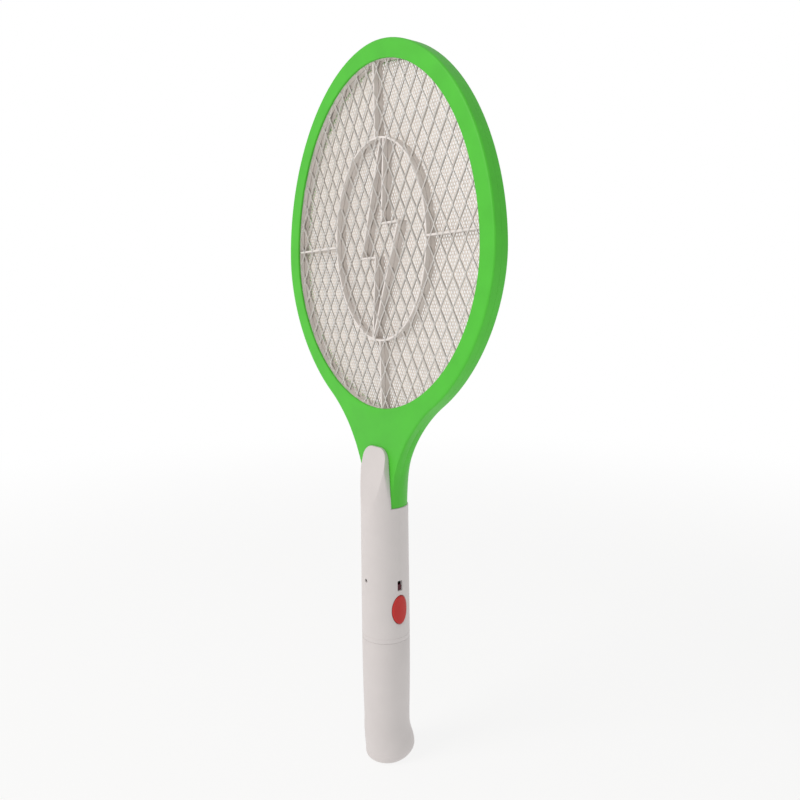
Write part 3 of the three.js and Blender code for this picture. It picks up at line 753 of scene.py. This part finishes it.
def handle_rows(low, high):
    """Heights of the rows, with an inset for rounded ends and for the fine groove."""
    rows = [(low, 0.2), (low + 0.06, 0.06), (low + 0.2, 0)]
    groove_low, groove_high = SEAM_GROOVE
    rows += [(groove_low, 0), (groove_low + 0.15, 0.14)]
    rows += [(groove_high - 0.15, 0.14), (groove_high, 0)]
    rows += [(z, 0) for z in np.arange(98, 178, 4)]
    rows += [(z, 0) for z in np.arange(178, 183.3, 0.75)]
    rows += [(high - 0.5, 0), (high - 0.15, 0.12), (high, 0.4)]
    return rows


WALL_STEPS = 8           # rows up each side wall of the tongue
FRONT_STEPS = 57         # rows across its face


def tongue_width(height):
    """Half the width of the tongue, with its rounded top corners."""
    corner_low = TONGUE_TOP - TONGUE_CORNER
    if height <= corner_low:
        return float(np.interp(height, (HANDLE_TOP, corner_low), (TONGUE_FOOT_HALF, TONGUE_HALF)))
    rise = min(height - corner_low, TONGUE_CORNER)
    return TONGUE_HALF - TONGUE_CORNER + math.sqrt(TONGUE_CORNER ** 2 - rise ** 2)


def tongue_edge_distance(x, height):
    """How far a point of the tongue's face is from its nearest edge."""
    corner_x = TONGUE_HALF - TONGUE_CORNER
    corner_z = TONGUE_TOP - TONGUE_CORNER
    if abs(x) > corner_x and height > corner_z:
        return max(TONGUE_CORNER - math.hypot(abs(x) - corner_x, height - corner_z), 0)
    return max(min(tongue_width(height) - abs(x), TONGUE_TOP - height), 0)


def tongue_front(x, height):
    """How far in front of the middle plane the tongue's skin lies, with its edge rounded."""
    radius = handle_radius(height)
    skin = soft_min(math.sqrt(radius ** 2 - x ** 2), facet_depth(height))
    near = max(TONGUE_EDGE - tongue_edge_distance(x, height), 0)
    return skin - TONGUE_EDGE + math.sqrt(TONGUE_EDGE ** 2 - near ** 2)


def handle_columns():
    """Angles from the front, in three groups that line up with the tongue's walls and face."""
    wall_angle = math.asin(TONGUE_FOOT_HALF / HANDLE_RADII[-1])
    spread = np.linspace(-1, 1, FRONT_STEPS)
    across = [TONGUE_FOOT_HALF * math.sin(math.pi / 2 * u) for u in spread]
    face = [math.asin(x / HANDLE_RADII[-1]) for x in across]
    wall = list(np.linspace(-math.pi / 2, -wall_angle, WALL_STEPS + 1)[:-1])
    return wall + face + [-a for a in reversed(wall)]


def lower_section(height, inset, angles, side, under_tongue):
    """A half ring of the handle; under the tongue's foot the front half has no rounded end."""
    radius = handle_radius(height)
    outer = []
    inner = []
    for angle in angles:
        amount = inset
        if side < 0 and under_tongue:
            amount *= float(smoothstep(abs(angle), math.radians(65), math.radians(68)))
        reach = radius - amount
        if side < 0:
            reach = soft_min(reach, facet_depth(height) / max(math.cos(angle), 0.05))
        if abs(angle) > math.radians(89.9):
            reach -= 0.05
        shift = side * PARTING if abs(math.cos(angle)) < 0.01 else 0
        for skin, distance in ((outer, reach), (inner, HANDLE_BORE)):
            y = side * distance * math.cos(angle) + shift
            skin.append((distance * math.sin(angle), y, height))
    return outer + inner[::-1]


def tongue_section(height):
    """A flat-backed section of the tongue: up one wall, across the face and down the other."""
    width = tongue_width(height)
    edge = tongue_front(width, height)
    wall = [TONGUE_BACK + (edge - TONGUE_BACK) * i / WALL_STEPS for i in range(WALL_STEPS)]
    outer = [(-width, -y, height) for y in wall]
    for u in np.linspace(-1, 1, FRONT_STEPS):
        x = width * math.sin(math.pi / 2 * u)
        outer.append((x, -tongue_front(x, height), height))
    outer += [(width, -y, height) for y in reversed(wall)]
    inner = [(x, -TONGUE_BACK, height) for x, _, _ in reversed(outer)]
    return [(x, min(y, -TONGUE_BACK - 0.01), z) for x, y, z in outer] + inner


def opening(outline, lip, facing):
    """A cutter for a hole in the round handle, with a softly flared mouth."""
    profile = [(2.0, lip), (0.03, lip), (-0.3 * lip, 0.3 * lip), (-lip, 0), (None, 0)]
    sections = []
    for lift, grow in profile:
        ring = []
        for u, z in outline(grow):
            skin = math.sqrt(handle_radius(z) ** 2 - u ** 2)
            reach = HOLE_DEPTH if lift is None else skin + lift
            ring.append((reach, u, z) if facing == "button" else (u, -reach, z))
        sections.append(ring)
    return loft(sections)


def oval_hole(half_u, half_z, centre, count=64):
    def outline(grow):
        u, z = half_u + grow, half_z + grow
        angles = [2 * math.pi * i / count for i in range(count)]
        return [(u * math.cos(a), centre + z * math.sin(a)) for a in angles]
    return outline


def rounded_rectangle(half_u, half_v, corner, steps=6):
    points = []
    for quarter, (su, sv) in enumerate([(1, 1), (-1, 1), (-1, -1), (1, -1)]):
        for i in range(steps + 1):
            angle = math.pi / 2 * (quarter + i / steps)
            points.append((su * (half_u - corner) + corner * math.cos(angle),
                           sv * (half_v - corner) + corner * math.sin(angle)))
    return points


def slot_hole(half_u, half_z, corner, centre):
    def outline(grow):
        corners = rounded_rectangle(half_u + grow, half_z + grow, corner + grow)
        return [(u, centre + z) for u, z in corners]
    return outline


def add_handle():
    angles = handle_columns()
    rows = handle_rows(HANDLE_BOTTOM, HANDLE_TOP)
    front_sections = [lower_section(z, inset, angles, -1, z > HANDLE_TOP - 1) for z, inset in rows]
    corner_low = TONGUE_TOP - TONGUE_CORNER
    heights = list(np.linspace(HANDLE_TOP, corner_low, 24))
    quarter = np.linspace(0, math.pi / 2, 16)[1:]
    heights += [corner_low + TONGUE_CORNER * math.sin(a) for a in quarter]
    front_sections += [tongue_section(z) for z in heights]
    front = make_piece("handle_front", *loft(front_sections))
    back_sections = [lower_section(z, inset, angles, 1, True) for z, inset in rows]
    back = make_piece("handle_back", *loft(back_sections))
    button = oval_hole(BUTTON_OVAL[0] + BUTTON_GAP, BUTTON_OVAL[1] + BUTTON_GAP, BUTTON_HEIGHT)
    slot = slot_hole(SWITCH_SLOT[0] / 2, SWITCH_SLOT[1] / 2, 0.4, SWITCH_HEIGHT)
    lamp = oval_hole(LED_HOLE, LED_HOLE, LED_HEIGHT, 32)
    for shell in (front, back):
        cut(shell, *opening(button, 0.35, "button"))
        cut(shell, *opening(slot, 0.2, "button"))
    cut(front, *opening(lamp, 0.2, "front"))
    for z in HANDLE_SCREW_HEIGHTS:
        cut(back, *lathe(HANDLE_RECESS, 48, (0, 0, z), "Y"))
    finish_piece(front, "racket", WHITE, "white_plastic", "handle_front_shell")
    finish_piece(back, "racket", WHITE, "white_plastic", "handle_back_shell")


add_handle()


# ---- Grip ------------------------------------------------------------------------------------

def smooth_profile(profile, steps):
    """Extra points on a smooth curve through a profile."""
    points = np.array(profile, float)
    result = []
    for i in range(len(points) - 1):
        p0, p1 = points[max(i - 1, 0)], points[i]
        p2, p3 = points[i + 1], points[min(i + 2, len(points) - 1)]
        for j in range(steps):
            t = j / steps
            result.append(0.5 * (2 * p1 + (p2 - p0) * t + (2 * p0 - 5 * p1 + 4 * p2 - p3) * t ** 2
                                 + (3 * p1 - p0 - 3 * p2 + p3) * t ** 3))
    result.append(points[-1])
    return result


def heel_shift(height):
    """How far the grip's outline is pushed back at the heel."""
    if not HEEL["low"] < height < HEEL["high"]:
        return 0.0
    if height < HEEL["peak"]:
        side = (height - HEEL["low"]) / (HEEL["peak"] - HEEL["low"])
    else:
        side = (HEEL["high"] - height) / (HEEL["high"] - HEEL["peak"])
    return HEEL["shift"] * side * side * (3 - 2 * side)


def circle(radius, height, shift=0, segments=96):
    angles = [2 * math.pi * i / segments for i in range(segments)]
    return [(radius * math.cos(a), radius * math.sin(a) + shift, height) for a in angles]


def add_grip():
    top = HANDLE_RADII[0]
    outside = [tuple(p) for p in smooth_profile(GRIP_PROFILE, 5)]
    outside += [(top, GRIP_TOP - 0.2), (top - 0.06, GRIP_TOP - 0.06), (top - 0.2, GRIP_TOP)]
    sections = [circle(radius, height, heel_shift(height)) for radius, height in outside]
    sections.append(circle(GRIP_BORE, GRIP_TOP))
    sections.append(circle(GRIP_BORE, GRIP_FLOOR + 1))
    sections.append(circle(GRIP_BORE - 1, GRIP_FLOOR))
    piece = make_piece("grip", *loft(sections))
    finish_piece(piece, "grip", WHITE, "white_plastic", "grip_cap")


add_grip()


# ---- Button, its spring and the switch -------------------------------------------------------

def button_ring(grow_u, grow_z, drop, flat_x=None, count=64):
    """An oval row of the button, on its crowned top or, for the flange, at one depth."""
    ring = []
    for i in range(count):
        angle = 2 * math.pi * i / count
        y = (BUTTON_OVAL[0] + grow_u) * math.cos(angle)
        z = (BUTTON_OVAL[1] + grow_z) * math.sin(angle)
        x = math.sqrt(BUTTON_CROWN ** 2 - y ** 2) - drop if flat_x is None else flat_x
        ring.append((x, y, BUTTON_HEIGHT + z))
    return ring


def add_button():
    low = node_box("button_cap")[0][0]
    shoulder = low + BUTTON_FLANGE["thickness"]
    wide, tall = BUTTON_FLANGE["side"], BUTTON_FLANGE["up"]
    sections = [button_ring(wide, tall, 0, low), button_ring(wide, tall, 0, shoulder)]
    sections.append(button_ring(0, 0, 0, shoulder))
    for angle in np.linspace(0, math.pi / 2, 7):
        inset = BUTTON_EDGE * (1 - math.cos(angle))
        sections.append(button_ring(-inset, -inset, BUTTON_EDGE * (1 - math.sin(angle))))
    for share in (0.7, 0.45, 0.2, 0.02):
        sections.append(button_ring(BUTTON_OVAL[0] * (share - 1), BUTTON_OVAL[1] * (share - 1), 0))
    piece = make_piece("button", *loft(sections))
    finish_piece(piece, "button", RED, "red_plastic", "button_cap")


def add_knob(steps=40, ridges=4):
    """The slide switch's knob, with ridges across its face."""
    low, high = node_box("slide_switch_knob")
    half = (high[1] - low[1]) / 2
    edge = 0.25
    sections = []
    for i in range(steps + 1):
        share = i / steps
        z = low[2] + (high[2] - low[2]) * share
        ridge = 0.3 * (0.5 - 0.5 * math.cos(2 * math.pi * ridges * share))
        end = min(share, 1 - share) * (high[2] - low[2])
        top = high[0] - ridge - max(0.3 - end, 0)
        rim = max(edge - end, 0) * 0.6
        middle = (low[0] + top) / 2
        loop = rounded_rectangle((top - low[0]) / 2, half - rim, edge, 3)
        sections.append([(middle + u, v, z) for u, v in loop])
    piece = make_piece("switch_knob", *loft(sections))
    finish_piece(piece, "power_switch", DARK_RED, "dark_red_plastic", "slide_switch_knob")


def coil(low, high, radius, turns, wire, steps=84, sides=8):
    """Sections of a coil round the button's axis, from low to high along X."""
    sections = []
    for i in range(steps + 1):
        angle = 2 * math.pi * turns * i / steps
        middle = low + wire + (high - low - 2 * wire) * i / steps
        ring = []
        for j in range(sides):
            turn = 2 * math.pi * j / sides
            reach = radius + wire * math.cos(turn)
            y, z = reach * math.cos(angle), BUTTON_HEIGHT + reach * math.sin(angle)
            ring.append((middle + wire * math.sin(turn), y, z))
        sections.append(ring)
    return sections


def add_button_spring():
    """The coil under the button, between the ends of the CAD spring."""
    low, high = node_box("button_spring")
    wire = SPRING["wire"]
    radius = (high[1] - low[1]) / 2 - wire
    sections = coil(low[0], high[0], radius, SPRING["turns"], wire)
    piece = make_piece("button_spring_coil", *loft(sections))
    finish_piece(piece, "racket", STEEL, "steel", "button_spring")
    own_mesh(piece)


add_button()
add_button_spring()
add_knob()


# ---- Screws ----------------------------------------------------------------------------------

def add_screw(name, node, x, z, screw):
    """A cross-recess screw that points towards -Y, with its head's flat at the seat."""
    tip, shaft, radius, seat, top = (screw[k] for k in ("tip", "shaft", "radius", "seat", "top"))
    edge = 0.12 * radius
    profile = [(0.3 * shaft, tip), (shaft, tip + 1.2), (shaft, seat), (radius, seat),
               (radius, top - edge), (radius - 0.6 * edge, top - 0.3 * edge),
               (radius - 2 * edge, top)]
    piece = make_piece(name, *lathe(profile, 32, (x, 0, z), "Y"))
    arm, half, recess_floor = 0.62 * radius, 0.13 * radius, top - 0.45
    for u, v in ((arm, half), (half, arm)):
        outline = [(x - u, z - v), (x + u, z - v), (x + u, z + v), (x - u, z + v)]
        cut(piece, *prism(outline, recess_floor, top + 1))
    finish_piece(piece, "racket", STEEL, "steel", node)


def add_screws():
    spots = screw_spots()
    for i, (x, z) in enumerate(spots):
        add_screw(f"screw_{i + 1}", f"head_screw_{i + 1}", x, z, HEAD_SCREW)
    for i, z in enumerate(HANDLE_SCREW_HEIGHTS):
        name = f"screw_{len(spots) + 1 + i}"
        add_screw(name, f"handle_screw_{i + 1}", 0, z, HANDLE_SCREW)


add_screws()


# ---- Plug under the grip ---------------------------------------------------------------------

def add_carrier():
    """The barrel that the grip slides over, with slots for the two blades in its end."""
    radius, bore, flange = (CARRIER[k] for k in ("radius", "bore", "flange"))
    bottom, floor, top = (CARRIER[k] for k in ("bottom", "floor", "top"))
    flange_low, flange_high = CARRIER["flange_low"], CARRIER["flange_high"]
    profile = [(bore, floor), (bore, top), (radius, top), (radius, flange_high),
               (flange, flange_high), (flange, flange_low), (radius, flange_low),
               (radius, bottom + 1.2), (radius - 0.35, bottom + 0.35), (radius - 1.2, bottom)]
    piece = make_piece("plug_carrier_body", *lathe(profile, 96))
    for side in (-1, 1):
        corners = rounded_rectangle(PIN["thickness"] / 2 + 0.3, PIN["width"] / 2 + 0.3, 0.4, 4)
        x = side * PIN["spacing"] / 2
        sections = [[(x + u, v, z) for u, v in corners] for z in (bottom - 1, floor + 1)]
        cut(piece, *loft(sections))
    finish_piece(piece, "racket", WHITE, "white_plastic", "plug_carrier")


def add_pins():
    """The two flat blades of the plug, with rounded tips."""
    for name, side in (("plug_pin_left", -1), ("plug_pin_right", 1)):
        x = side * PIN["spacing"] / 2
        half_x, half_y = PIN["thickness"] / 2, PIN["width"] / 2
        tip = PIN["bottom"]
        rows = [(tip, 0.5, 2.0), (tip + 0.3, 0.3, 1.3), (tip + 1, 0.1, 0.5), (tip + 2.2, 0, 0),
                (PIN["top"], 0, 0)]
        sections = []
        for z, thin, narrow in rows:
            corners = rounded_rectangle(half_x - thin, half_y - narrow, 0.2, 3)
            sections.append([(x + u, v, z) for u, v in corners])
        piece = make_piece(f"{name}_blade", *loft(sections))
        finish_piece(piece, "racket", BRASS, "brass", name)


add_carrier()
add_pins()


# ---- CAD nodes that keep their shape ---------------------------------------------------------

def dress(look, *nodes):
    for node in nodes:
        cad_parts[node].material_slots[0].material = look


def numbered(name, count):
    return [f"{name}_{i + 1}" for i in range(count)]


dress(BOARD, "circuit_board", "charger_board")
dress(FERRITE, "transformer_core")
dress(TAPE, "transformer_winding", *numbered("resistor", 2))
dress(CAPACITOR, "high_voltage_capacitor")
dress(BLACK, "transistor", *numbered("diode", 4), "tact_switch_body", "slide_switch_body")
dress(RED, "tact_plunger")
dress(LENS_DARK, "indicator_led")
dress(BATTERY, "battery")
dress(RED_LEAD, "front_grid_lead", "back_grid_lead", "battery_lead_positive")
dress(BLACK_LEAD, "middle_grid_lead", "battery_lead_negative")


# ---- Floor and light -------------------------------------------------------------------------

FLOOR_RADIUS = 6000
FLOOR_FADE = (0.35, 1.3)     # metres from the middle between which the floor turns plain white
FLOOR_GLOW = 0.8             # share of plain white in the floor near the object
SURROUND = {"light": 0.62, "seen": 1.0}
KEY_LIGHT = {"azimuth": -12, "distance": 1.6, "height": 1.1, "size": 1.1, "power": 13.5,
             "colour": (1, 0.95, 0.93), "target": (0, 0, 0.28)}     # metres, watts, degrees


def floor_material():
    """Pale floor near the object, which fades into the white surround further out."""
    look = material("floor", "f2f1ef", 0.75, variation=0.004, blotch=3, grain=400)
    nodes = look.node_tree.nodes
    links = look.node_tree.links
    where = nodes["Texture Coordinate"]
    length = nodes.new("ShaderNodeVectorMath")
    length.operation = "LENGTH"
    links.new(where.outputs["Object"], length.inputs[0])
    fade = nodes.new("ShaderNodeMapRange")
    fade.interpolation_type = "SMOOTHSTEP"
    fade.inputs["From Min"].default_value = FLOOR_FADE[0]
    fade.inputs["From Max"].default_value = FLOOR_FADE[1]
    fade.inputs["To Min"].default_value = FLOOR_GLOW
    links.new(length.outputs["Value"], fade.inputs["Value"])
    white = nodes.new("ShaderNodeEmission")
    mix = nodes.new("ShaderNodeMixShader")
    links.new(fade.outputs["Result"], mix.inputs["Fac"])
    links.new(nodes["Principled BSDF"].outputs["BSDF"], mix.inputs[1])
    links.new(white.outputs["Emission"], mix.inputs[2])
    links.new(mix.outputs["Shader"], nodes["Material Output"].inputs["Surface"])
    return look


def add_floor():
    count = 96
    turns = [2 * math.pi * i / count for i in range(count)]
    level = -DATUM[2] - 0.2
    points = [(FLOOR_RADIUS * math.cos(a), FLOOR_RADIUS * math.sin(a), level) for a in turns]
    floor = make_piece("floor", points, [tuple(range(count))])
    floor.data.materials.append(floor_material())


def add_world():
    """An even white surround: bright where it is seen, softer where it lights the object."""
    world = bpy.data.worlds.new("studio")
    bpy.context.scene.world = world
    world.use_nodes = True
    nodes = world.node_tree.nodes
    links = world.node_tree.links
    background = nodes["Background"]
    background.inputs["Color"].default_value = (1, 1, 1, 1)
    path = nodes.new("ShaderNodeLightPath")
    strength = nodes.new("ShaderNodeMapRange")
    strength.inputs["To Min"].default_value = SURROUND["light"]
    strength.inputs["To Max"].default_value = SURROUND["seen"]
    links.new(path.outputs["Is Camera Ray"], strength.inputs["Value"])
    links.new(strength.outputs["Result"], background.inputs["Strength"])


def add_key_light():
    data = bpy.data.lights.new("key", "AREA")
    data.shape = "DISK"
    data.size = KEY_LIGHT["size"]
    data.energy = KEY_LIGHT["power"]
    data.color = KEY_LIGHT["colour"]
    light = bpy.data.objects.new("key", data)
    bpy.context.scene.collection.objects.link(light)
    around = math.radians(KEY_LIGHT["azimuth"])
    distance = KEY_LIGHT["distance"]
    where = (distance * math.sin(around), -distance * math.cos(around), KEY_LIGHT["height"])
    light.location = where
    light.rotation_mode = "QUATERNION"
    towards = Vector(KEY_LIGHT["target"]) - Vector(where)
    light.rotation_quaternion = towards.to_track_quat("-Z", "Y")


add_floor()
add_world()
add_key_light()
bpy.context.scene.view_settings.view_transform = "Standard"
